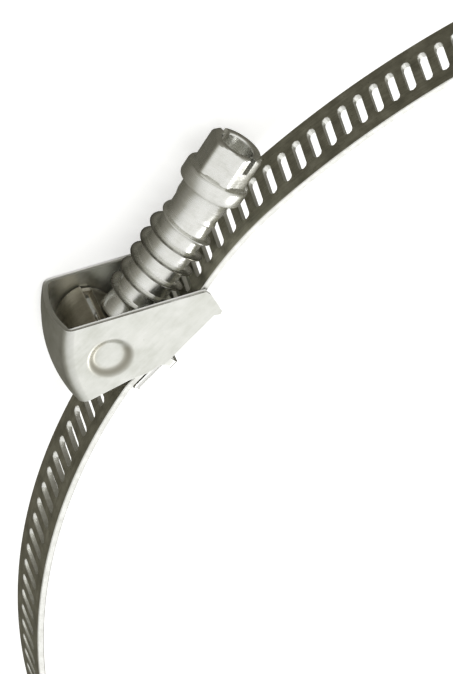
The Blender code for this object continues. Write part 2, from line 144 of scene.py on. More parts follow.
def smoothstep(value: Array) -> Array:
    """Three times the square less twice the cube, clipped to the span from 0 to 1."""
    value = np.clip(value, 0.0, 1.0)
    return value * value * (3.0 - 2.0 * value)


def unit(vectors: Array) -> Array:
    """Each vector divided by its own length."""
    return vectors / np.maximum(np.linalg.norm(vectors, axis=-1, keepdims=True), 1e-12)


def grid_quads(rows: int, columns: int, wrap: bool) -> Array:
    """Corner indices of every cell of a grid.

    Args:
        rows: points down the grid.
        columns: points across it.
        wrap: whether the last column joins the first.

    Returns:
        An array of cells by four corners, row by row.
    """
    across = columns if wrap else columns - 1
    row, column = np.meshgrid(np.arange(rows - 1), np.arange(across), indexing="ij")
    after = (column + 1) % columns
    corners = (row * columns + column, row * columns + after,
               (row + 1) * columns + after, (row + 1) * columns + column)
    return np.stack(corners, axis=-1).reshape(-1, 4)


class MeshMaker:
    """Collects grids of points into one closed mesh with a map in millimetres and a value for wear and
    painted shade.
    """

    def __init__(self) -> None:
        """Starts with no points and no faces."""
        self.points: list[Array] = []
        self.faces: list[Array] = []
        self.marks: list[Array] = []
        self.maps: list[Array] = []
        self.wear_and_shade: list[Array] = []
        self.count = 0

    def add(self, points: Array, faces: Array, mark: Array, uv: Array, wear_and_shade: Array) -> None:
        """Adds loose points and the faces between them.

        Args:
            points: world points by three.
            faces: faces by three or four corner indices.
            mark: the material index of each face, or one for all.
            uv: map coordinates in millimetres by two.
            wear_and_shade: a value for each point, or one for all: from 0 to 1 for rubbed rims and painted
                crest shade, below 0 for painted dimple shade.
        """
        self.points.append(points)
        self.faces.append(faces + self.count)
        self.marks.append(np.broadcast_to(mark, len(faces)))
        self.maps.append(uv)
        self.wear_and_shade.append(np.broadcast_to(wear_and_shade, len(points)))
        self.count += len(points)

    def grid(self, points: Array, uv: Array, wrap: bool = False, mark: Array = 0, wear_and_shade: Array = 0.0) -> None:
        """Adds a grid of points as quads.

        Args:
            points: rows by columns by three.
            uv: rows by columns by two.
            wrap: whether the last column joins the first.
            mark: a material index for each column of cells, or one for all.
            wear_and_shade: rows by columns, or one for all.
        """
        rows, columns = points.shape[:2]
        across = columns if wrap else columns - 1
        marks = np.broadcast_to(mark, (rows - 1, across)).reshape(-1)
        self.add(points.reshape(-1, 3), grid_quads(rows, columns, wrap), marks, uv.reshape(-1, 2),
                 np.broadcast_to(wear_and_shade, (rows, columns)).reshape(-1))

    def fan(self, ring: Array, uv: Array, mark: int = 0) -> None:
        """Closes a ring of points with triangles to its middle, which is the mean of the ring.

        Args:
            ring: points by three, in order.
            uv: map coordinates of the ring, by two.
            mark: the faces' material index.
        """
        count = len(ring)
        step = np.arange(count)
        faces = np.stack([step, (step + 1) % count, np.full(count, count)], axis=-1)
        points = np.concatenate([ring, ring.mean(axis=0, keepdims=True)])
        self.add(points, faces, mark, np.concatenate([uv, uv.mean(axis=0, keepdims=True)]), 0.0)

    def sheet(self, outer: Array, uv: Array, thickness: float, rounding: float, keep: Array | None = None,
              wrap: bool = False, side: float = 1.0, painted_shade: Array = 0.0) -> None:
        """Adds a sheet of metal: an outer skin, an inner skin along its normals and a rounded rim.

        A point's normal is the cross product of the grid's two slopes there. The rim follows a
        quarter circle out of each skin, and its direction is the edge's own, turned a quarter in
        the surface.

        Args:
            outer: rows by columns by three, the outer skin.
            uv: rows by columns by two.
            thickness: of the sheet, in millimetres.
            rounding: radius of the rim's edges, in millimetres.
            keep: which cells of the grid hold metal, or None for all.
            wrap: whether the last row joins the first.
            side: 1 where rows crossed with columns points outward, otherwise -1.
            painted_shade: the painted shade on each point of the outer skin, carried as a negative wear
                value.
        """
        rows, columns = outer.shape[:2]
        padded = np.concatenate([outer[-1:], outer, outer[:1]]) if wrap else outer
        down = np.gradient(padded, axis=0)[1:-1] if wrap else np.gradient(padded, axis=0)
        normal = unit(np.cross(down, np.gradient(outer, axis=1)) * side).reshape(-1, 3)
        quads = grid_quads(columns, rows, wrap)
        quads = (quads % rows) * columns + quads // rows
        if keep is not None:
            quads = quads[keep.T.reshape(-1)]
        if side > 0.0:
            quads = quads[:, ::-1]
        skin = outer.reshape(-1, 3)
        flat_uv = uv.reshape(-1, 2)
        starts, ends = quads.reshape(-1), np.roll(quads, -1, axis=1).reshape(-1)
        total = rows * columns
        rim = ~np.isin(starts * total + ends, ends * total + starts)
        starts, ends = starts[rim], ends[rim]
        away = np.zeros_like(skin)
        turned = np.cross(unit(skin[ends] - skin[starts]), normal[starts])
        np.add.at(away, starts, turned)
        np.add.at(away, ends, turned)
        edge, order = np.unique(np.concatenate([starts, ends]), return_inverse=True)
        starts, ends = order[:len(starts)], order[len(starts):]
        count = len(edge)
        away = unit(away[edge])
        # The outer skin carries the dimples' painted shade as a negative wear value.
        outer_wear_and_shade = -np.broadcast_to(painted_shade, (rows, columns)).reshape(-1)
        inner_wear = np.zeros(total)
        outer_wear_and_shade[edge] = inner_wear[edge] = 1.0
        self.add(skin, quads, 0, flat_uv, outer_wear_and_shade)
        self.add(skin - normal * thickness * MM, quads[:, ::-1], 0, flat_uv, inner_wear)
        arcs = np.linspace(0.0, QUARTER, 4)
        reach = np.concatenate([np.sin(arcs), np.cos(arcs)]) * rounding * MM
        sink = np.concatenate([rounding * (1.0 - np.cos(arcs)),
                               thickness - rounding + rounding * np.sin(arcs)]) * MM
        for level in range(len(reach) - 1):
            ring = [skin[edge] + away * reach[k] - normal[edge] * sink[k] for k in (level, level + 1)]
            faces = np.stack([ends, starts, starts + count, ends + count], axis=-1)
            self.add(np.concatenate(ring), faces, 0, np.tile(flat_uv[edge], (2, 1)), 1.0)

    def build(self, name: str, finishes: list[bpy.types.Material], sharp: float = 40.0) -> bpy.types.Object:
        """Makes the object: doubles merged, loose points dropped, faces outward and shaded smooth.

        Args:
            name: of the piece.
            finishes: materials by mark.
            sharp: the angle in degrees past which an edge stays crisp.

        Returns:
            The linked object, at the origin.
        """
        mesh = bpy.data.meshes.new(name)
        faces = [face for block in self.faces for face in block.tolist()]
        mesh.from_pydata(np.concatenate(self.points).tolist(), [], faces)
        mesh.polygons.foreach_set("material_index", np.concatenate(self.marks).astype(np.int32))
        wear_and_shade = mesh.attributes.new(WEAR_AND_SHADE_NAME, "FLOAT", "POINT")
        wear_and_shade.data.foreach_set("value", np.concatenate(self.wear_and_shade).astype(np.float32))
        corner = np.empty(len(mesh.loops), np.int32)
        mesh.loops.foreach_get("vertex_index", corner)
        layer = mesh.uv_layers.new(name=UV_NAME)
        layer.uv.foreach_set("vector", np.concatenate(self.maps)[corner].astype(np.float32).reshape(-1))
        for finish in finishes:
            mesh.materials.append(finish)
        work = bmesh.new()
        work.from_mesh(mesh)
        bmesh.ops.remove_doubles(work, verts=work.verts, dist=2e-7)
        bmesh.ops.delete(work, geom=[v for v in work.verts if not v.link_faces], context="VERTS")
        bmesh.ops.dissolve_degenerate(work, dist=1e-7, edges=work.edges)
        bmesh.ops.recalc_face_normals(work, faces=work.faces)
        work.to_mesh(mesh)
        work.free()
        mesh.shade_smooth()
        mesh.set_sharp_from_angle(angle=math.radians(sharp))
        made = bpy.data.objects.new(name, mesh)
        bpy.context.scene.collection.objects.link(made)
        return made


# ---------------------------------------------------------------- finishes

def linear(colour: str) -> tuple[float, float, float, float]:
    """Turns an sRGB hex colour to linear light, with full alpha.

    Args:
        colour: a hash sign and six hex digits.

    Returns:
        Red, green, blue and alpha.
    """
    shares = np.array([int(colour[k:k + 2], 16) / 255.0 for k in (1, 3, 5)])
    light = np.where(shares <= 0.04045, shares / 12.92, ((shares + 0.055) / 1.055) ** 2.4)
    return (*(float(x) for x in light), 1.0)


def add_node(tree: bpy.types.NodeTree, kind: str, values: dict | None = None, links: dict | None = None,
             **settings: object) -> bpy.types.Node:
    """Adds a node with its settings, socket values and links.

    Args:
        tree: the node tree.
        kind: the node's type name.
        values: socket name or number to a constant.
        links: socket name or number to the output socket that feeds it.
        settings: properties of the node.

    Returns:
        The node.
    """
    node = tree.nodes.new(kind)
    for name, value in settings.items():
        setattr(node, name, value)
    for name, value in (values or {}).items():
        node.inputs[name].default_value = value
    for name, source in (links or {}).items():
        tree.links.new(source, node.inputs[name])
    return node


def ramp(tree: bpy.types.NodeTree, source: bpy.types.NodeSocket,
         stops: list[tuple[float, str]]) -> bpy.types.NodeSocket:
    """A colour ramp through hex colours at given places, fed by a value.

    Args:
        tree: the node tree.
        source: the socket of the value.
        stops: places from 0 to 1, each with its sRGB hex colour.

    Returns:
        The ramp's colour socket.
    """
    node = add_node(tree, "ShaderNodeValToRGB", links={"Fac": source})
    while len(node.color_ramp.elements) < len(stops):
        node.color_ramp.elements.new(0.5)
    for element, (place, colour) in zip(node.color_ramp.elements, stops):
        element.position = place
        element.color = linear(colour)
    return node.outputs["Color"]


class Ground(Enum):
    """What a pattern is laid on: the object's own space, or the piece's map."""
    OBJECT = "Object"
    MAP = "UV"


@dataclass(frozen=True)
class SteelFinish:
    """A steel surface: its oxide clouds, its grain, its fine pits, its worn edges and its painted shade.

    Attributes:
        name: the metal and how its surface was made.
        stops: base colours over the clouds, from thin to thick oxide.
        cloud: size of the clouds in millimetres.
        grain: length, width and depth of the grain lines in millimetres.
        pit: size and depth of the fine pits in millimetres.
        pit_colour: colour in the pits.
        pit_share: share of the surface that the pits take.
        wear_and_shade_colour: colour where the wear value is positive: rubbed steel along edges, and on the
            screw's thread crests a painted dark shade.
        roughness: lowest and highest.
        bump: strength of the relief.
        ground: what the pattern is laid on.
        painted_shade_colour: colour of the painted shade that darkens the housing's dimple slopes.
    """
    name: str
    stops: tuple[tuple[float, str], ...]
    cloud: float
    grain: tuple[float, float, float]
    pit: tuple[float, float]
    pit_colour: str
    pit_share: float
    wear_and_shade_colour: str
    roughness: tuple[float, float]
    bump: float
    ground: Ground
    # Colour of the painted shade in the housing's dimples.
    painted_shade_colour: str = "#A29E90"

    def noise(self, tree: bpy.types.NodeTree, place: bpy.types.NodeSocket, size: tuple[float, float, float],
              detail: float) -> bpy.types.NodeSocket:
        """A noise whose features have the given sizes along the three axes.

        Args:
            tree: the node tree.
            place: the socket of the coordinates.
            size: of a feature along each axis, in millimetres.
            detail: how many finer octaves lie on it.

        Returns:
            The noise's value socket.
        """
        scale = MM if self.ground is Ground.MAP else 1.0
        stretch = [1.0 / (edge * MM) * scale for edge in size]
        mapping = add_node(tree, "ShaderNodeMapping", {"Scale": stretch}, {"Vector": place})
        made = add_node(tree, "ShaderNodeTexNoise", {"Scale": 1.0, "Detail": detail, "Roughness": 0.6},
                        {"Vector": mapping.outputs["Vector"]})
        return made.outputs["Fac"]

    def material(self) -> bpy.types.Material:
        """Builds the material: clouds and grain colour the base, then pits, painted shade, and wear with
        painted crest shade lie over it.

        Returns:
            The material.
        """
        made = bpy.data.materials.new(self.name)
        made.use_nodes = True
        tree = made.node_tree
        shader = tree.nodes["Principled BSDF"]
        shader.inputs["Metallic"].default_value = 1.0
        if self.ground is Ground.MAP:
            place = add_node(tree, "ShaderNodeUVMap", uv_map=UV_NAME).outputs["UV"]
        else:
            place = add_node(tree, "ShaderNodeTexCoord").outputs["Object"]
        clouds = self.noise(tree, place, (self.cloud,) * 3, 5.0)
        grain = self.noise(tree, place, (self.grain[0], self.grain[1], self.grain[1]), 3.0)
        pits = self.noise(tree, place, (self.pit[0],) * 3, 2.0)
        tone = add_node(tree, "ShaderNodeMath", {1: 0.35}, {0: grain}, operation="MULTIPLY")
        tone = add_node(tree, "ShaderNodeMath", {1: 0.65, 2: 0.0}, {0: clouds, 2: tone.outputs[0]},
                        operation="MULTIPLY_ADD")
        colour = ramp(tree, tone.outputs[0], list(self.stops))
        low = 0.5 - 0.28 * (1.0 - self.pit_share)
        pitted = add_node(tree, "ShaderNodeMapRange", {"From Min": low - 0.05, "From Max": low + 0.05,
                                                       "To Min": 1.0, "To Max": 0.0}, {"Value": pits})
        colour = self.blend(tree, pitted.outputs[0], colour, self.pit_colour)
        wear_and_shade_share = add_node(tree, "ShaderNodeAttribute", attribute_name=WEAR_AND_SHADE_NAME).outputs["Fac"]
        # Painted shade: a negative wear value darkens the colour towards the painted shade colour.
        painted_shade_share = add_node(tree, "ShaderNodeMath", {1: -0.85}, {0: wear_and_shade_share}, operation="MULTIPLY", use_clamp=True)
        colour = self.blend(tree, painted_shade_share.outputs[0], colour, self.painted_shade_colour)
        # A positive wear value lays on the wear colour: rubbed steel on the sheets' rims, painted shade on
        # the screw's thread crests.
        patchy = add_node(tree, "ShaderNodeMapRange", {"From Min": 0.3, "From Max": 0.6, "To Min": 0.5,
                                                       "To Max": 1.0}, {"Value": clouds})
        wear_and_shade_share = add_node(tree, "ShaderNodeMath", None, {0: wear_and_shade_share, 1: patchy.outputs[0]}, operation="MULTIPLY",
                        use_clamp=True)
        colour = self.blend(tree, wear_and_shade_share.outputs[0], colour, self.wear_and_shade_colour)
        tree.links.new(colour, shader.inputs["Base Color"])
        span = {"From Min": 0.3, "From Max": 0.7, "To Min": self.roughness[0], "To Max": self.roughness[1]}
        rough = add_node(tree, "ShaderNodeMapRange", span, {"Value": tone.outputs[0]})
        rough = add_node(tree, "ShaderNodeMath", {1: 0.25}, {0: painted_shade_share.outputs[0], 2: rough.outputs[0]},
                         operation="MULTIPLY_ADD")
        tree.links.new(rough.outputs[0], shader.inputs["Roughness"])
        relief = add_node(tree, "ShaderNodeMath", {1: self.grain[2]}, {0: grain}, operation="MULTIPLY")
        relief = add_node(tree, "ShaderNodeMath", {1: -self.pit[1]},
                          {0: pitted.outputs[0], 2: relief.outputs[0]}, operation="MULTIPLY_ADD")
        bump = add_node(tree, "ShaderNodeBump", {"Strength": self.bump, "Distance": MM},
                        {"Height": relief.outputs[0]})
        tree.links.new(bump.outputs["Normal"], shader.inputs["Normal"])
        return made

    @staticmethod
    def blend(tree: bpy.types.NodeTree, share: bpy.types.NodeSocket, below: bpy.types.NodeSocket,
              colour: str) -> bpy.types.NodeSocket:
        """Lays a colour over another by a share that varies over the surface.

        Args:
            tree: the node tree.
            share: the socket of the upper colour's share.
            below: the socket of the lower colour.
            colour: the upper colour, in sRGB hex.

        Returns:
            The mixed colour's socket.
        """
        node = add_node(tree, "ShaderNodeMix", {7: linear(colour)}, {0: share, 6: below}, data_type="RGBA")
        return node.outputs[2]


# Cold-rolled stainless strip keeps a thin brown-grey scale and long rolling lines.
ROLLED_STRIP = SteelFinish(
    "rolled_stainless_strip", ((0.30, "#9C9A8E"), (0.5, "#BFBDAE"), (0.68, "#DEDCCE")), 3.0,
    (9.0, 0.25, 0.012), (0.35, 0.02), "#716F63", 0.3, "#A5A49B", (0.34, 0.5), 0.8, Ground.MAP)
# The press shears the slots and the long edges, which leaves bright, torn steel.
SHEARED_EDGE = SteelFinish(
    "sheared_stainless_edge", ((0.30, "#E4E4DE"), (0.5, "#F2F2EE"), (0.68, "#FCFCFA")), 1.2,
    (0.3, 0.12, 0.02), (0.25, 0.02), "#D2D2CA", 0.2, "#FFFFFF", (0.3, 0.45), 0.5, Ground.OBJECT)
# Pressed stainless sheet is pale and slightly cloudy, with a fine orange-peel from the die.
PRESSED_SHEET = SteelFinish(
    "pressed_stainless_sheet", ((0.30, "#D4D5CC"), (0.48, "#E0E1DB"), (0.68, "#EAEAE6")), 4.5,
    (3.5, 0.9, 0.008), (0.45, 0.008), "#CDCEC5", 0.1, "#F6F6F4", (0.30, 0.42), 0.25, Ground.OBJECT)
# The bracket is plain low-carbon steel, so it keeps a duller taupe film.
PRESSED_BRACKET = SteelFinish(
    "pressed_plain_steel", ((0.30, "#A09A8A"), (0.5, "#B8B2A2"), (0.68, "#CBC6B8")), 3.0,
    (4.0, 0.8, 0.008), (0.4, 0.012), "#8A8474", 0.15, "#DAD6CA", (0.42, 0.55), 0.6, Ground.OBJECT)
# Bright zinc on a rolled thread: mirror-like on the crests, faintly frosted in the roots. Its wear colour is
# dark, painted shade along the thread's crests.
ZINC_PLATE = SteelFinish(
    "bright_zinc_plated_steel", ((0.30, "#E2E2DC"), (0.5, "#F2F2EE"), (0.68, "#FCFCFA")), 2.0,
    (0.25, 3.0, 0.004), (0.4, 0.003), "#D6D6CE", 0.1, "#6C6A60", (0.2, 0.32), 0.2, Ground.MAP)


# ---------------------------------------------------------------- band

@dataclass(frozen=True)
class Stretch:
    """A stretch of the band's centreline: an arc about a centre, or a line where the radius is 0."""
    length: float
    origin: complex
    radius: float
    angle: float

    def at(self, distance: Array) -> tuple[Array, Array]:
        """Points and outward directions at distances along the stretch.

        On an arc the direction turns with distance over radius; on a line it stays square to it.

        Args:
            distance: from the stretch's start, in millimetres.

        Returns:
            Complex points, and complex unit vectors away from the loop's middle.
        """
        if self.radius:
            outward = np.exp(1j * (self.angle + distance / self.radius))
            return self.origin + self.radius * outward, outward
        heading = np.exp(1j * self.angle)
        return self.origin + heading * distance, np.full(np.shape(distance), -1j * heading)


def arc(centre: complex, radius: float, start: float, end: float) -> Stretch:
    """An anticlockwise arc between two angles; its length is its radius times its turn.

    Args:
        centre: of the arc.
        radius: of the arc.
        start: angle in degrees.
        end: angle in degrees.

    Returns:
        The stretch.
    """
    return Stretch(math.radians(end - start) * radius, centre, radius, math.radians(start))


def line(start: complex, end: complex) -> Stretch:
    """A straight stretch between two points."""
    return Stretch(abs(end - start), start, 0.0, math.atan2((end - start).imag, (end - start).real))


def degrees_of(vector: complex) -> float:
    """The angle of a vector from 0 to 360 degrees."""
    return math.degrees(math.atan2(vector.imag, vector.real)) % 360.0


def polar(radius: float, degrees: float) -> complex:
    """The point at a radius and an angle about zero."""
    return radius * complex(math.cos(math.radians(degrees)), math.sin(math.radians(degrees)))


def fillet_centre(centre: complex, arc_radius: float, point: complex, direction: complex,
                  radius: float) -> complex:
    """Centre of a bend tangent inside an arc and below a line.

    The centre lies one bend radius below the line, and its distance from the arc's centre is the
    arc's radius less the bend's.

    Args:
        centre: of the arc.
        arc_radius: of the arc.
        point: on the line.
        direction: of the line, one long.
        radius: of the bend.

    Returns:
        The bend's centre nearest to the point.
    """
    base = point - 1j * direction * radius - centre
    middle = (base * direction.conjugate()).real
    half = math.sqrt(middle ** 2 - abs(base) ** 2 + (arc_radius - radius) ** 2)
    return centre + base + direction * min((-middle - half, -middle + half), key=abs)


@dataclass
class Band:
    """The slotted strip, from its fixed end under the screw, round the loop, to its free tip."""
    plane: ClampPlane
    axis: ScrewAxis
    width: float = 12.7
    thickness: float = 1.1
    pitch: float = 3.175
    slot_length: float = 6.9
    slot_width: float = 1.5
    slot_skew: float = 0.32
    edge: float = 0.14
    lip: float = 0.09
    fixed_end: complex = 2.3 - 7.9j
    margin: float = 3.09
    free_tip: float = 10.2
    free_drop: float = 6.15
    rear_centre: complex = 15.0 - 96.85j
    rear_radius: float = 90.75
    rear_end: float = 150.0
    rear_bend: float = 6.0
    front_centre: complex = 24.8 - 157.3j
    front_radius: float = 154.55
    front_start: float = 65.2
    free_bend: float = 60.0
    loop_split: float = 0.4883
    stretches: list[Stretch] = field(default_factory=list)

    def far_loop(self, start: complex, start_heading: float, end: complex,
                 end_heading: float) -> list[Stretch]:
        """Two tangent arcs that close the loop.

        An arc moves a point by its radius times the difference of its headings' sines and
        cosines, so the two radii solve a pair of linear equations.

        Args:
            start: where the first arc begins.
            start_heading: its direction there, in degrees.
            end: where the second arc ends.
            end_heading: its direction there, in degrees.

        Returns:
            The two arcs.
        """
        middle = start_heading + (end_heading - start_heading) * self.loop_split
        turns = np.exp(1j * np.radians([start_heading, middle, end_heading]) - 1j * QUARTER)
        moves = np.diff(turns)
        system = np.array([moves.real, moves.imag])
        first, second = np.linalg.solve(system, [(end - start).real, (end - start).imag])
        first_centre = start - first * turns[0]
        second_centre = first_centre + (first - second) * turns[1]
        return [arc(complex(first_centre), float(first), start_heading - 90.0, middle - 90.0),
                arc(complex(second_centre), float(second), middle - 90.0, end_heading - 90.0)]

    def route(self) -> list[Stretch]:
        """Works out the centreline: flat, bend, rear arc, far loop, front arc, bend and flat.

        Returns:
            The stretches in order from the fixed end.
        """
        bend = fillet_centre(self.rear_centre, self.rear_radius, self.fixed_end, 1.0 + 0.0j, self.rear_bend)
        rear_leave = degrees_of(bend - self.rear_centre)
        heading = self.axis.direction
        free_line = self.axis.tail - 1j * heading * self.free_drop
        free = fillet_centre(self.front_centre, self.front_radius, free_line, heading, self.free_bend)
        free_leave = degrees_of(free - self.front_centre)
        free_turn = 90.0 + degrees_of(heading)
        free_start = free + polar(self.free_bend, free_turn)
        free_end = free_start - heading * (free_start.real - self.free_tip) / heading.real
        rear_end = self.rear_centre + polar(self.rear_radius, self.rear_end)
        front_start = self.front_centre + polar(self.front_radius, self.front_start)
        return [
            line(self.fixed_end, complex(bend.real, self.fixed_end.imag)),
            arc(bend, self.rear_bend, 90.0, rear_leave),
            arc(self.rear_centre, self.rear_radius, rear_leave, self.rear_end),
            *self.far_loop(rear_end, self.rear_end + 90.0, front_start, self.front_start + 450.0),
            arc(self.front_centre, self.front_radius, self.front_start, free_leave),
            arc(free, self.free_bend, free_leave, free_turn),
            line(free_start, free_end),
        ]

    def at(self, distance: Array, height: Array, across: Array) -> Array:
        """World points at distances along the band, heights above its centreline and widths.

        Args:
            distance: along the centreline, in millimetres.
            height: outward from the centreline, in millimetres.
            across: over the band's width, in millimetres.

        Returns:
            World points in metres.
        """
        distance, height, across = np.broadcast_arrays(distance, height, across)
        spot = np.zeros(distance.shape, complex)
        start = 0.0
        for index, stretch in enumerate(self.stretches):
            last = index == len(self.stretches) - 1
            here = (distance >= start) & ((distance < start + stretch.length) | last)
            middle, outward = stretch.at(distance[here] - start)
            spot[here] = middle + outward * height[here]
            start += stretch.length
        return self.plane.world(spot, across)

    def slot_ring(self, grow: float) -> Array:
        """Twelve points round a slot with round, leaning ends, grown by a lip's width.

        Args:
            grow: in millimetres.

        Returns:
            Points by two: distance from the cell's middle, and width.
        """
        half = 0.5 * self.slot_width + grow
        shoulder = 0.5 * (self.slot_length - self.slot_width)
        turn = np.radians([0.0, 45.0, 90.0, 135.0, 180.0])
        upper = np.stack([half * np.cos(turn), shoulder + half * np.sin(turn)], axis=-1)
        ring = np.concatenate([[[half, 0.0]], upper, [[-half, 0.0]], -upper])
        ring[:, 0] += self.slot_skew * ring[:, 1] / (0.5 * self.slot_length)
        return ring

    def cell(self) -> tuple[Array, Array, Array]:
        """One slot's cell as points, faces and marks: two faces of the strip, slot wall and edges.

        Returns:
            Points by three (distance, width, height), faces by four and a mark for each face.
        """
        flat = 0.5 * self.width - self.edge
        half = 0.5 * self.thickness
        steps = 0.5 * self.pitch * np.array([1.0, 0.5, 0.0, -0.5, -1.0])
        upper = np.stack([steps, np.full(5, flat)], axis=-1)
        frame = np.concatenate([[[steps[0], 0.0]], upper, [[steps[-1], 0.0]], -upper])
        levels = ((frame, half), (self.slot_ring(self.lip), half), (self.slot_ring(0.0), half - self.lip),
                  (self.slot_ring(0.0), self.lip - half), (self.slot_ring(self.lip), -half), (frame, -half))
        points = [np.column_stack([ring, np.full(12, height)]) for ring, height in levels]
        faces = [grid_quads(len(levels), 12, True)]
        marks = [np.repeat([0, 1, 1, 1, 0], 12)]
        count = 12 * len(levels)
        for side in (1.0, -1.0):
            profile = ((flat, half), (0.5 * self.width, half - self.edge),
                       (0.5 * self.width, self.edge - half), (flat, -half))
            points += [np.column_stack([steps, np.full(5, side * width), np.full(5, height)])
                       for width, height in profile]
            faces.append(grid_quads(4, 5, False) + count)
            marks.append(np.ones(12, int))
            count += 20
        return np.concatenate(points), np.concatenate(faces), np.concatenate(marks)

    def build(self, faces_finish: bpy.types.Material, edge_finish: bpy.types.Material) -> bpy.types.Object:
        """Builds the strip: its cell laid once for each slot, with plain steel at both ends.

        Args:
            faces_finish: for both faces of the strip.
            edge_finish: for its long edges and the slots' walls.

        Returns:
            The piece.
        """
        self.stretches = self.route()
        total = sum(stretch.length for stretch in self.stretches)
        cells = int((total - self.margin - 0.5 * self.pitch) / self.pitch)
        maker = MeshMaker()
        points, faces, marks = self.cell()
        middles = self.margin + self.pitch * (np.arange(cells) + 0.5)
        distance = middles[:, None] + points[None, :, 0]
        width = np.broadcast_to(points[None, :, 1], distance.shape)
        placed = self.at(distance, points[None, :, 2], width)
        shifted = faces[None] + (np.arange(cells) * len(points))[:, None, None]
        uv = np.stack([distance, width], axis=-1)
        maker.add(placed.reshape(-1, 3), shifted.reshape(-1, 4), np.tile(marks, cells),
                  uv.reshape(-1, 2), 0.0)
        flat, half = 0.5 * self.width - self.edge, 0.5 * self.thickness
        side, rise = 0.5 * self.width, 0.5 * self.thickness - self.edge
        ring = np.array([(-flat, half), (0.0, half), (flat, half), (side, rise), (side, -rise),
                         (flat, -half), (0.0, -half), (-flat, -half), (-side, -rise), (-side, rise)])
        spans = ((0.0, self.margin), (self.margin + self.pitch * cells, total))
        for (low, high), cap in zip(spans, (0, -1)):
            rows = np.linspace(low, high, 8)[:, None]
            placed = self.at(rows, ring[None, :, 1], ring[None, :, 0])
            uv = np.stack(np.broadcast_arrays(rows, ring[None, :, 0]), axis=-1)
            maker.grid(placed, uv, True, np.array([0, 0, 1, 1, 1, 0, 0, 1, 1, 1]))
            maker.fan(placed[cap], uv[cap], 1)
        return maker.build("slotted_band", [faces_finish, edge_finish])


# ---------------------------------------------------------------- housing and saddle

def resample(corners: Array, spacing: float) -> tuple[Array, Array]:
    """Points along a polyline that keep its corners, with their shares of its length.

    Args:
        corners: complex points.
        spacing: the widest step between points.

    Returns:
        Complex points, and their shares from 0 to 1.
    """
    lengths = np.abs(np.diff(corners))
    counts = np.maximum(1, np.ceil(lengths / spacing)).astype(int)
    ends = np.concatenate([[0.0], np.cumsum(lengths)])
    marks = [np.linspace(ends[k], ends[k + 1], counts[k], endpoint=False) for k in range(len(counts))]
    places = np.concatenate([*marks, ends[-1:]])
    spots = np.interp(places, ends, corners.real) + 1j * np.interp(places, ends, corners.imag)
    return spots, places / ends[-1]


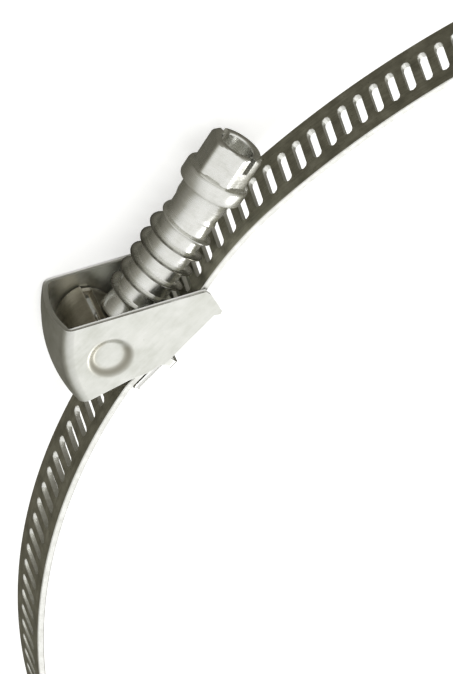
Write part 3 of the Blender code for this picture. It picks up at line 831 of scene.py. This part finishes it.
@dataclass
class Housing:
    """Two cheeks and a bowed rear wall pressed from one sheet, with pivot dimples and hooks."""
    plane: ClampPlane
    sheet: float = 0.9
    half: float = 7.6
    rim: float = 0.24
    wall_bottom: complex = -9.3 - 3.1j
    wall_top: complex = -0.25 + 9.9j
    bulge: float = 1.4
    crown: float = 0.9
    offset: float = 0.65
    corner: float = 1.8
    dimple: float = 4.0
    dimple_floor: float = 2.5
    dimple_depth: float = 0.68
    # Where the dimples' painted shade opens, as an angle about the pivot.
    painted_shade_gap: float = 0.4
    hook_rear: float = 4.2
    hook_length: float = 1.6
    hook_inner: float = 4.9
    hook_top: float = -8.5
    hook_low: float = -10.7
    hook_sheet: float = 0.75
    bottom: tuple[complex, ...] = (-1.4 - 6.0j, 1.4 - 7.65j, 3.8 - 8.3j, 4.2 - 8.9j, 16.2 - 8.9j, 17.0 - 9.7j,
                                   17.7 - 9.4j)
    front: tuple[complex, ...] = (17.7 - 9.4j, 18.85 - 5.7j, 18.85 - 4.4j, 18.2 - 3.8j)
    bottom_line: tuple[complex, complex] = (-7.6 - 3.55j, -14.2 + 0.33j)
    top_line: tuple[complex, complex] = (-5.17 + 13.33j, 18.2 - 3.8j)

    def wall(self, share: Array, depth: Array) -> Array:
        """Points of the rear wall's side profile: its chord plus a parabola bowed rearward.

        Args:
            share: of the chord from its bottom.
            depth: inward from the profile, in millimetres.

        Returns:
            Complex points.
        """
        chord = self.wall_top - self.wall_bottom
        inward = -1j * chord / abs(chord)
        bow = self.bulge * 4.0 * share * (1.0 - share)
        return self.wall_bottom + chord * share + inward * (depth - bow)

    def cut(self, depth: Array, ends: tuple[complex, complex], low: float, high: float) -> Array:
        """Shares where the wall's profile meets a line, found by halving an interval.

        Args:
            depth: of each profile.
            ends: two points of the line.
            low: share on one side of it.
            high: share on the other side.

        Returns:
            One share for each depth.
        """
        along = ends[1] - ends[0]
        low, high = np.full(depth.shape, low), np.full(depth.shape, high)
        rising = ((self.wall(high, depth) - ends[0]) * along.conjugate()).imag > 0.0
        for _ in range(30):
            middle = 0.5 * (low + high)
            above = ((self.wall(middle, depth) - ends[0]) * along.conjugate()).imag > 0.0
            low, high = np.where(above == rising, low, middle), np.where(above == rising, middle, high)
        return 0.5 * (low + high)

    def cheek(self, rows: Array) -> Array:
        """One cheek's outline filled by a Coons patch, from its rear bend to its front edge.

        The patch is the sum of the two ruled surfaces between opposite edges, less the surface
        that is linear between its four corners.

        Args:
            rows: shares from the bottom to the top.

        Returns:
            Complex points, rows by columns.
        """
        depth = np.array([self.corner - self.offset])
        foot, head = self.cut(depth, self.bottom_line, -0.2, 0.3), self.cut(depth, self.top_line, 0.8, 1.15)
        rear = self.wall(foot + (head - foot) * rows, depth)
        under, across = resample(np.array([rear[0], *self.bottom]), 0.2)
        edge, places = resample(np.array(self.front), 0.05)
        front = np.interp(rows, places, edge.real) + 1j * np.interp(rows, places, edge.imag)
        over = rear[-1] + (front[-1] - rear[-1]) * across
        u, v = rows[:, None], across[None, :]
        corners = ((1 - u) * (1 - v) * rear[0] + (1 - u) * v * front[0] + u * (1 - v) * rear[-1]
                   + u * v * front[-1])
        return (1 - u) * under + u * over + (1 - v) * rear[:, None] + v * front[:, None] - corners

    def pressed(self) -> tuple[Array, Array]:
        """The outer skin of both cheeks and the rear wall as one grid.

        Each dimple sinks its cheek by its depth times a smooth step of the distance from the
        pivot.

        Returns:
            World points, rows by columns by three, and the map by two.
        """
        rows = np.linspace(0.0, 1.0, 90)
        cheek = self.cheek(rows)
        reach = (self.dimple - np.abs(cheek)) / (self.dimple - self.dimple_floor)
        sink = self.dimple_depth * smoothstep(reach)
        turn = np.linspace(0.0, QUARTER, 8)
        bend_depth = self.corner * (1.0 - np.sin(turn)) - self.offset
        bend_width = self.half - self.corner * (1.0 - np.cos(turn))
        crest = np.linspace(-1.0, 1.0, 17)[1:-1]
        wall_depth = -self.offset - self.crown * (1.0 - crest ** 2)
        depth = np.concatenate([bend_depth[1:], wall_depth, bend_depth[:0:-1]])
        width = np.concatenate([bend_width[1:], -crest * (self.half - self.corner), -bend_width[:0:-1]])
        foot, head = self.cut(depth, self.bottom_line, -0.2, 0.3), self.cut(depth, self.top_line, 0.8, 1.15)
        wall = self.wall(foot + (head - foot) * rows[:, None], depth)
        spots = np.concatenate([cheek[:, ::-1], wall, cheek], axis=1)
        across = np.concatenate([self.half - sink[:, ::-1], np.broadcast_to(width, wall.shape),
                                 sink - self.half], axis=1)
        uv = np.stack([spots.real, spots.imag], axis=-1)
        return self.plane.world(spots, across), uv

    def painted_shade(self, spots: Array) -> Array:
        """Where the painted shade lies: a dark band on the dimple's slope, open on one side.

        Args:
            spots: complex points of the outer skin.

        Returns:
            A share from 0 to 1 for each point.
        """
        middle = 0.5 * (self.dimple + self.dimple_floor) - 0.1
        band = smoothstep(1.0 - np.abs(np.abs(spots) - middle) / 1.3)
        opening = np.abs(np.angle(spots * np.exp(-1j * self.painted_shade_gap)))
        return band * smoothstep((opening - 0.3) / 0.6)

    def hook(self, maker: MeshMaker, side: float) -> None:
        """Adds a tab that runs down inside a cheek's foot and turns in under the saddle.

        Its section is a line down, a quarter circle and a line in.

        Args:
            maker: that takes the tab.
            side: 1 or -1, for the upper or the lower cheek.
        """
        width = self.half - 0.05
        turn = np.linspace(0.0, QUARTER, 6)
        bend = 0.9
        section = np.concatenate([
            [width + 1j * self.hook_top],
            (width - bend + bend * np.cos(turn)) + 1j * (self.hook_low + bend - bend * np.sin(turn)),
            [self.hook_inner + 1j * self.hook_low]])
        lengths = np.linspace(self.hook_rear, self.hook_rear + self.hook_length, 5)
        spots = lengths[None, :] + 1j * section.imag[:, None]
        points = self.plane.world(spots, side * section.real[:, None])
        maker.sheet(points, np.stack([spots.real, spots.imag], axis=-1), self.hook_sheet, 0.2, side=side)

    def build(self, finish: bpy.types.Material) -> bpy.types.Object:
        """Builds the housing: the pressed sheet and its two hooks.

        Args:
            finish: of the piece.

        Returns:
            The piece.
        """
        maker = MeshMaker()
        points, uv = self.pressed()
        # Painted shade on the dimples' slopes, laid into the outer skin's colour.
        painted_shade = self.painted_shade(uv[..., 0] + 1j * uv[..., 1])
        maker.sheet(points, uv, self.sheet, self.rim, painted_shade=painted_shade)
        for side in (1.0, -1.0):
            self.hook(maker, side)
        return maker.build("pressed_housing", [finish])


@dataclass
class Saddle:
    """The plate under the band's fixed end, held by the hooks, with both ends eased down."""
    plane: ClampPlane
    top: float = -8.75
    rear: float = -2.9
    front: float = 16.1
    half: float = 6.4
    sheet: float = 0.9
    ease: float = 0.3
    ease_length: float = 1.0
    rim: float = 0.2

    def build(self, finish: bpy.types.Material) -> bpy.types.Object:
        """Builds the plate: flat, less a smooth step down at each end.

        Args:
            finish: of the piece.

        Returns:
            The piece.
        """
        along = np.linspace(self.rear + self.rim, self.front - self.rim, 60)
        near_end = np.minimum(along - self.rear, self.front - along)
        height = self.top - self.ease * smoothstep(1.0 - near_end / self.ease_length)
        across = np.linspace(self.half - self.rim, self.rim - self.half, 9)
        spots = np.broadcast_to((along + 1j * height)[:, None], (60, 9))
        points = self.plane.world(spots, across[None, :])
        uv = np.stack([spots.real, np.broadcast_to(across, spots.shape)], axis=-1)
        maker = MeshMaker()
        maker.sheet(points, uv, self.sheet, self.rim)
        return maker.build("saddle_plate", [finish])


# ---------------------------------------------------------------- swivel

@dataclass
class Swivel:
    """The bracket that carries the screw: two legs, a curved web and a plate for the tail."""
    plane: ClampPlane
    axis: ScrewAxis
    sheet: float = 0.8
    half: float = 6.4
    hole: float = 3.5
    leg: float = 4.8
    web: float = 5.7
    bend: float = 1.0
    web_start: float = 60.0
    web_end: float = 150.0
    rim: float = 0.2
    plate_start: float = 1.7
    plate: float = 1.1
    plate_half: float = 4.6
    bore: float = 3.0

    def leg_radius(self, turn: Array) -> Array:
        """The legs' outline as a radius about the pivot: disc, web sector and plate corners.

        Args:
            turn: angles in radians.

        Returns:
            Radii in millimetres.
        """
        tail, heading = self.axis.tail, self.axis.direction
        near, far = self.plate_start - self.plate, self.plate_start + self.plate
        sector = [polar(self.web - self.bend, angle) for angle in (self.web_start, 90.0, 120.0, self.web_end)]
        disc = [polar(self.leg, self.web_end + 17.0 * step) for step in range(1, 8)]
        plate = [tail + heading * (near - 1j * self.plate_half),
                 tail + heading * (far - 1j * self.plate_half),
                 tail + heading * (far + 1j * self.plate_half)]
        outline, _ = resample(np.array([*sector, *disc, *plate, sector[0]]), 0.1)
        angle = np.angle(outline) % (2.0 * math.pi)
        order = np.argsort(angle)
        made = np.interp(turn % (2.0 * math.pi), angle[order], np.abs(outline)[order], period=2.0 * math.pi)
        inside = (turn >= math.radians(self.web_start)) & (turn <= math.radians(self.web_end))
        return np.where(inside, self.web - self.bend, made)

    def build(self, finish: bpy.types.Material) -> bpy.types.Object:
        """Builds the bracket from one grid: turns about the pivot by the way over leg, bend and web.

        Args:
            finish: of the piece.

        Returns:
            The piece.
        """
        maker = MeshMaker()
        rows = 120
        turn = np.radians(np.linspace(0.0, 360.0, rows, endpoint=False))[:, None]
        shares = np.linspace(0.0, 1.0, 7)[None, :]
        radius = self.hole + (self.leg_radius(turn[:, 0])[:, None] - self.hole) * shares
        arcs = np.linspace(0.0, QUARTER, 6)[None, 1:]
        core = self.web - self.bend
        bend = np.broadcast_to(core + self.bend * np.sin(arcs), (rows, 5))
        flat = np.broadcast_to(self.web, (rows, 7))
        inner = self.half - self.bend
        side = np.broadcast_to(self.half, radius.shape)
        drop = np.broadcast_to(inner + self.bend * np.cos(arcs), (rows, 5))
        span = np.broadcast_to(np.linspace(inner, -inner, 9)[1:-1], (rows, 7))
        radii = np.concatenate([radius, bend, flat, bend[:, ::-1], radius[:, ::-1]], axis=1)
        across = np.concatenate([side, drop, span, -drop[:, ::-1], -side], axis=1)
        spots = radii * np.exp(1j * turn)
        middle = np.degrees(turn[:, 0]) + 180.0 / rows
        inside = (middle > self.web_start) & (middle < self.web_end)
        keep = np.ones((rows, radii.shape[1] - 1), bool)
        leg_cells = shares.shape[1] - 1
        keep[~inside, leg_cells:-leg_cells] = False
        uv = np.stack([spots.real, spots.imag], axis=-1)
        maker.sheet(self.plane.world(spots, across), uv, self.sheet, self.rim, keep, True, -1.0)
        self.tail_plate(maker)
        return maker.build("swivel_bracket", [finish])

    def tail_plate(self, maker: MeshMaker) -> None:
        """Adds the plate that holds the screw's tail: rays from its bore out to a rectangle.

        Args:
            maker: that takes the plate.
        """
        turn = np.radians(np.linspace(0.0, 360.0, 96, endpoint=False))[:, None]
        wide = self.half - 0.5 * self.sheet
        edge = np.minimum(self.plate_half / np.maximum(np.abs(np.cos(turn)), 1e-6),
                          wide / np.maximum(np.abs(np.sin(turn)), 1e-6))
        radius = self.bore + (edge - self.bore) * np.linspace(0.0, 1.0, 6)[None, :]
        points = self.axis.world(np.full(radius.shape, self.plate_start), radius, turn)
        uv = np.stack([radius * np.cos(turn), radius * np.sin(turn)], axis=-1)
        maker.sheet(points, uv, self.plate, self.rim, None, True, 1.0)


# ---------------------------------------------------------------- screw and washer

@dataclass
class Screw:
    """The worm screw: peened journal, flare, rolled thread, collar and hollow hexagon head."""
    axis: ScrewAxis
    segments: int = 72
    crest: float = 5.45
    root: float = 4.15
    neck: float = 4.4
    pitch: float = 3.175
    thread_start: float = 6.2
    thread_end: float = 26.6
    fade: float = 1.4
    run_out: float = 5.5
    shoulder: float = 3.1
    flare: float = 4.55
    journal: float = 2.7
    peen: float = 3.6
    collar_start: float = 30.6
    collar_end: float = 33.7
    collar: float = 5.75
    end: float = 39.9
    flats: float = 8.7
    hex_turn: float = 23.4
    recess: float = 3.0
    recess_depth: float = 4.2
    slot_width: float = 1.3
    slot_depth: float = 3.0

    def turns(self) -> Array:
        """The angles of the grid's columns."""
        return np.linspace(0.0, 2.0 * math.pi, self.segments, endpoint=False)

    def hexagon(self, turn: Array) -> Array:
        """The head's section: half the width across flats over the cosine of the angle off a flat.

        Args:
            turn: angles about the axis in radians.

        Returns:
            Radii in millimetres, with the corners eased.
        """
        off = (turn - math.radians(self.hex_turn)) % (math.pi / 3.0) - math.pi / 6.0
        radius = 0.5 * self.flats / np.cos(off)
        return np.minimum(radius, 0.975 * 0.5 * self.flats / math.cos(math.pi / 6.0))

    def lathe(self, maker: MeshMaker, distance: Array, radius: Array) -> None:
        """Adds rows of points about the axis, closed at a radius of nought.

        Args:
            maker: that takes the surface.
            distance: of each row along the axis.
            radius: rows by columns, or rows by one.
        """
        turn = self.turns()[None, :]
        radius = np.broadcast_to(radius, (len(distance), self.segments))
        points = self.axis.world(distance[:, None], radius, turn)
        uv = np.stack(np.broadcast_arrays(distance[:, None], turn * self.root), axis=-1)
        maker.grid(points, uv, True)

    def shank(self, maker: MeshMaker) -> None:
        """Adds the peened tail, the journal and the flare up to the thread.

        Args:
            maker: that takes the surface.
        """
        profile = np.array([
            (-0.95, 0.0), (-0.95, 1.6), (-0.88, 2.6), (-0.7, 3.3), (-0.45, self.peen), (-0.3, self.peen),
            (-0.3, self.journal), (self.shoulder, self.journal), (self.shoulder, self.flare - 0.2),
            (self.shoulder + 0.2, self.flare), (self.shoulder + 0.8, self.flare),
            (self.shoulder + 1.4, self.flare - 0.12), (self.shoulder + 2.2, self.root + 0.12),
            (self.shoulder + 2.8, self.root), (self.thread_start, self.root)])
        self.lathe(maker, profile[:, 0], profile[:, 1:])

    def thread(self, maker: MeshMaker) -> None:
        """Adds the thread on a grid that leans with its helix.

        Row i lies at its own place in the pitch plus the turn's share of a pitch, so a row's far
        end meets the row one pitch on. The height over the root depends on the row's place in the
        pitch, and fades to nothing at both ends, where the rows are held back to a plain ring.

        Args:
            maker: that takes the surface.
        """
        places = np.array([0.0, 0.6, 1.1, 1.24, 1.33, 1.40, 1.46, 1.51, 1.59, 1.67, 1.72, 1.78, 1.85,
                           1.94, 2.08, 2.58])
        heights = np.array([0.0, 0.0, 0.03, 0.12, 0.4, 0.8, 0.95, 0.99, 1.0, 0.99, 0.95, 0.8, 0.4,
                            0.12, 0.03, 0.0])
        count = int((self.thread_end - self.thread_start) / self.pitch) + 3
        rows = (np.arange(count)[:, None] - 1) * self.pitch + places[None, :]
        height = np.tile(heights, count)[:, None]
        turn = np.linspace(0.0, 2.0 * math.pi, self.segments + 1)[None, :]
        distance = self.thread_start + rows.reshape(-1)[:, None] - self.pitch * (turn / (2.0 * math.pi) - 1.0)
        distance = np.clip(distance - self.pitch, self.thread_start, self.thread_end)
        rise = smoothstep((distance - self.thread_start) / self.fade) * smoothstep(
            (self.thread_end - distance) / self.run_out)
        radius = self.root + (self.crest - self.root) * height * rise
        points = self.axis.world(distance, radius, turn)
        uv = np.stack(np.broadcast_arrays(distance, turn * self.root), axis=-1)
        # The crests take the finish's wear colour, which on the zinc is painted dark shade along each crest.
        maker.grid(points, uv, False, 0, smoothstep((height * rise - 0.6) / 0.35))

    def head(self, maker: MeshMaker) -> None:
        """Adds the neck, the collar, the hexagon and its hollow.

        The hexagon's radius is never less than a short cone off the collar and never more than
        the chamfer cone at its end.

        Args:
            maker: that takes the surface.
        """
        turn = self.turns()[None, :]
        end, flare = self.collar_end, 0.45
        start, collar, neck = self.collar_start, self.collar, self.neck
        low = np.array([(self.thread_end, self.root), (self.thread_end + 1.2, neck), (start - 0.7, neck),
                        (start - 0.25, neck + 0.2), (start + 0.02, collar - 0.45),
                        (start + 0.2, collar - 0.12),
                        (start + 0.5, collar), (end - 0.5, collar), (end - 0.2, collar - 0.08),
                        (end - 0.04, collar - 0.25)])
        hexagon = self.hexagon(turn)
        rises = np.array([0.0, 0.12, 0.3, 0.6, 1.2, 2.4, 3.6, 4.4, 5.0, 5.3, 5.6, 5.85, 6.05, 6.2])
        cone = 5.05 - 1.1 * (rises / flare)[:, None]
        chamfer = 0.5 * self.flats - 0.1 + 1.5 * (rises[-1] - rises)[:, None]
        body = np.minimum(np.maximum(hexagon, cone), chamfer)
        bore, floor = self.recess, -self.recess_depth
        mouth = np.array([(0.0, 3.75), (0.0, 3.35), (-0.06, 3.15), (-0.2, bore + 0.03), (-0.5, bore),
                          (-1.6, bore - 0.05), (-3.0, bore - 0.12), (-3.8, bore - 0.25),
                          (-4.05, bore - 0.55), (floor, 1.9), (floor - 0.1, 0.0)])
        distance = np.concatenate([low[:, 0], end + rises, self.end + mouth[:, 0]])
        radius = np.concatenate([np.broadcast_to(low[:, 1:], (len(low), self.segments)), body,
                                 np.broadcast_to(mouth[:, 1:], (len(mouth), self.segments))])
        self.lathe(maker, distance, radius)

    def cut_slot(self, piece: bpy.types.Object) -> None:
        """Cuts the driver's slot across the head with a block, and drops the block.

        Args:
            piece: the screw, whose mesh is replaced.
        """
        turn = math.radians(self.hex_turn + 90.0)
        depth = np.array([self.end - self.slot_depth, self.end + 1.0])
        half = 0.5 * self.slot_width
        corners = np.array([(-8.0, -half), (8.0, -half), (8.0, half), (-8.0, half)])
        radius = np.hypot(corners[:, 0], corners[:, 1])
        angle = np.arctan2(corners[:, 1], corners[:, 0]) + turn
        points = self.axis.world(depth[:, None], radius[None, :], angle[None, :])
        uv = np.zeros((2, 4, 2))
        maker = MeshMaker()
        maker.grid(points, uv, True)
        maker.fan(points[0], uv[0])
        maker.fan(points[1], uv[1])
        block = maker.build("slot_block", [])
        change = piece.modifiers.new("slot", "BOOLEAN")
        change.operation, change.solver, change.object = "DIFFERENCE", "EXACT", block
        bpy.context.view_layer.update()
        cut = bpy.data.meshes.new_from_object(piece.evaluated_get(bpy.context.evaluated_depsgraph_get()))
        piece.modifiers.clear()
        piece.data = cut
        bpy.data.objects.remove(block, do_unlink=True)
        cut.shade_smooth()
        cut.set_sharp_from_angle(angle=math.radians(35.0))

    def build(self, finish: bpy.types.Material) -> bpy.types.Object:
        """Builds the screw: shank, thread and head in one mesh, then the driver's slot.

        Args:
            finish: of the piece.

        Returns:
            The piece.
        """
        maker = MeshMaker()
        self.shank(maker)
        self.thread(maker)
        self.head(maker)
        piece = maker.build("worm_screw", [finish], 35.0)
        self.cut_slot(piece)
        return piece


@dataclass
class Washer:
    """The retaining washer on the screw's journal."""
    axis: ScrewAxis
    radius: float = 4.4
    bore: float = 3.0
    thickness: float = 1.4
    bevel: float = 0.25

    def build(self, finish: bpy.types.Material) -> bpy.types.Object:
        """Builds the ring: a chamfered rectangle carried round the axis.

        Args:
            finish: of the piece.

        Returns:
            The piece.
        """
        inner, outer, bevel, high = self.bore, self.radius, self.bevel, self.thickness
        loop = np.array([(0.0, inner + bevel), (0.0, outer - bevel), (bevel, outer), (high - bevel, outer),
                         (high, outer - bevel), (high, inner + bevel), (high - bevel, inner), (bevel, inner),
                         (0.0, inner + bevel)])
        turn = np.linspace(0.0, 2.0 * math.pi, 64, endpoint=False)[None, :]
        points = self.axis.world(loop[:, :1], loop[:, 1:], turn)
        uv = np.stack(np.broadcast_arrays(loop[:, :1], turn * self.radius), axis=-1)
        maker = MeshMaker()
        maker.grid(points, uv, True)
        return maker.build("tail_washer_ring", [finish])


# ---------------------------------------------------------------- stage

@dataclass(frozen=True)
class AreaLight:
    """A soft square lamp: its place in metres, its target, its side and its power in watts."""
    name: str
    place: tuple[float, float, float]
    side: float
    power: float
    target: tuple[float, float, float] = (0.0, 0.0, 0.0)

    def build(self) -> None:
        """Adds the lamp, aimed at its target."""
        data = bpy.data.lights.new(self.name, "AREA")
        data.shape, data.size, data.energy = "SQUARE", self.side, self.power
        lamp = bpy.data.objects.new(self.name, data)
        lamp.location = self.place
        away = Vector(self.target) - Vector(self.place)
        lamp.rotation_euler = away.to_track_quat("-Z", "Y").to_euler()
        bpy.context.scene.collection.objects.link(lamp)


@dataclass
class Studio:
    """A pale floor, a soft lamp, a pale surround and the camera."""
    floor_height: float = -7.75
    camera_place: tuple[float, float, float] = (-0.503692, -1.107051, 1.452649)
    back: tuple[float, float, float] = (-0.26255, -0.58822, 0.76490)
    roll: float = 154.021
    lens: float = 611.026

    def floor(self) -> None:
        """Adds a round floor of pale matt paper."""
        maker = MeshMaker()
        turn = np.linspace(0.0, 2.0 * math.pi, 64, endpoint=False)[None, :]
        radius = np.array([0.0, 0.3, 1.0, 4.0])[:, None] + 0.0 * turn
        points = np.stack([radius * np.cos(turn), radius * np.sin(turn),
                           np.full(radius.shape, self.floor_height * MM)], axis=-1)
        maker.grid(points, points[..., :2] / MM, True)
        paper = bpy.data.materials.new("matt_white_card")
        paper.use_nodes = True
        tree = paper.node_tree
        shader = tree.nodes["Principled BSDF"]
        shader.inputs["Roughness"].default_value = 0.9
        shader.inputs["Specular IOR Level"].default_value = 0.1
        shader.inputs["Emission Color"].default_value = (1.0, 1.0, 1.0, 1.0)
        shader.inputs["Emission Strength"].default_value = 0.5
        place = add_node(tree, "ShaderNodeTexCoord").outputs["Object"]
        fibre = add_node(tree, "ShaderNodeTexNoise", {"Scale": 900.0, "Detail": 3.0}, {"Vector": place})
        tree.links.new(ramp(tree, fibre.outputs["Fac"], [(0.3, "#F8F8F8"), (0.7, "#FDFDFD")]),
                       shader.inputs["Base Color"])
        made = maker.build("pale_floor", [paper])
        if made.data.polygons[0].normal.z < 0.0:
            made.data.flip_normals()
        made.visible_glossy = False

    def surround(self) -> None:
        """Sets a pale sky that darkens below the horizon, so that polished metal shows its form."""
        world = bpy.data.worlds.new("soft_surround")
        bpy.context.scene.world = world
        world.use_nodes = True
        tree = world.node_tree
        tree.nodes.clear()
        direction = add_node(tree, "ShaderNodeTexCoord").outputs["Generated"]
        parts = add_node(tree, "ShaderNodeSeparateXYZ", None, {0: direction})
        rise = add_node(tree, "ShaderNodeMapRange", {"From Min": -1.0}, {"Value": parts.outputs["Z"]})
        stops = [(0.0, "#5A5951"), (0.12, "#66645A"), (0.35, "#84827A"), (0.5, "#96948A"),
                 (0.575, "#AFAFA8"), (0.7, "#DADAD7"), (0.9, "#F2F2F0")]
        sky = ramp(tree, rise.outputs[0], stops)
        light = add_node(tree, "ShaderNodeBackground", {"Strength": 1.0}, {"Color": sky})
        add_node(tree, "ShaderNodeOutputWorld", None, {"Surface": light.outputs[0]})

    def camera(self) -> None:
        """Adds the camera: square to its line of sight, then rolled about it."""
        back = Vector(self.back).normalized()
        up = (Vector((0.0, 0.0, 1.0)) - back * back.z).normalized()
        right = up.cross(back)
        turned = Matrix((right, up, back)).transposed() @ Matrix.Rotation(math.radians(self.roll), 3, "Z")
        data = bpy.data.cameras.new("studio_camera")
        data.lens, data.sensor_width, data.clip_start, data.clip_end = self.lens, 36.0, 0.05, 20.0
        camera = bpy.data.objects.new("studio_camera", data)
        camera.matrix_world = Matrix.Translation(self.camera_place) @ turned.to_4x4()
        bpy.context.scene.collection.objects.link(camera)
        bpy.context.scene.camera = camera

    def build(self) -> None:
        """Builds the floor, the lamp, the surround and the camera."""
        self.floor()
        self.surround()
        AreaLight("key", (0.1, 1.5, 0.8), 0.5, 8.0).build()
        self.camera()
        bpy.context.scene.view_settings.view_transform = "Standard"


# ---------------------------------------------------------------- assembly

def settle(piece: bpy.types.Object, body: Body, node: str, slot: Slot) -> None:
    """Lets a piece ride on its body and stand for its CAD node, which is hidden.

    Args:
        piece: the finished piece.
        body: that it moves with.
        node: the CAD node that it stands for.
        slot: the record's material slot. Not used.
    """
    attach(piece, body.value)
    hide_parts(node)
    log.info("%s: %d faces, stands for %s on %s", piece.name, len(piece.data.polygons), node, body.value)


def frames(record: dict) -> tuple[ClampPlane, ScrewAxis]:
    """Reads the clamp's plane and the screw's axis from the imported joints.

    Args:
        record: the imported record.

    Returns:
        The plane and the axis.
    """
    joints = {joint["name"]: joint for joint in record["behaviour"]["joints"]}
    pivot = joints["swivel_swing"]["pos_m"]
    plane = ClampPlane(pivot[0] / MM, pivot[1] / MM)
    tail, heading = joints["screw_spin"]["pos_m"], joints["screw_spin"]["axis"]
    spot = complex(plane.pivot_x - tail[0] / MM, plane.pivot_y - tail[1] / MM)
    direction = complex(-heading[0], -heading[1])
    return plane, ScrewAxis(plane, spot, direction / abs(direction))


def main() -> None:
    """Builds the pieces in order, then the studio."""
    logging.basicConfig(level=logging.INFO, format="%(name)s %(message)s")
    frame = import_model()
    plane, axis = frames(frame["record"])
    strip, sheared = ROLLED_STRIP.material(), SHEARED_EDGE.material()
    pressed, bracket, zinc = PRESSED_SHEET.material(), PRESSED_BRACKET.material(), ZINC_PLATE.material()
    settle(Band(plane, axis).build(strip, sheared), Body.CLAMP, "band", Slot.STRIP)
    settle(Housing(plane).build(pressed), Body.CLAMP, "housing", Slot.SHEET)
    settle(Saddle(plane).build(pressed), Body.CLAMP, "saddle", Slot.SHEET)
    settle(Swivel(plane, axis).build(bracket), Body.BRACKET, "swivel", Slot.BRACKET)
    settle(Screw(axis).build(zinc), Body.WORM, "screw", Slot.PLATED)
    settle(Washer(axis).build(zinc), Body.WORM, "tail_washer", Slot.PLATED)
    Studio().build()


if __name__ == "__main__":
    main()
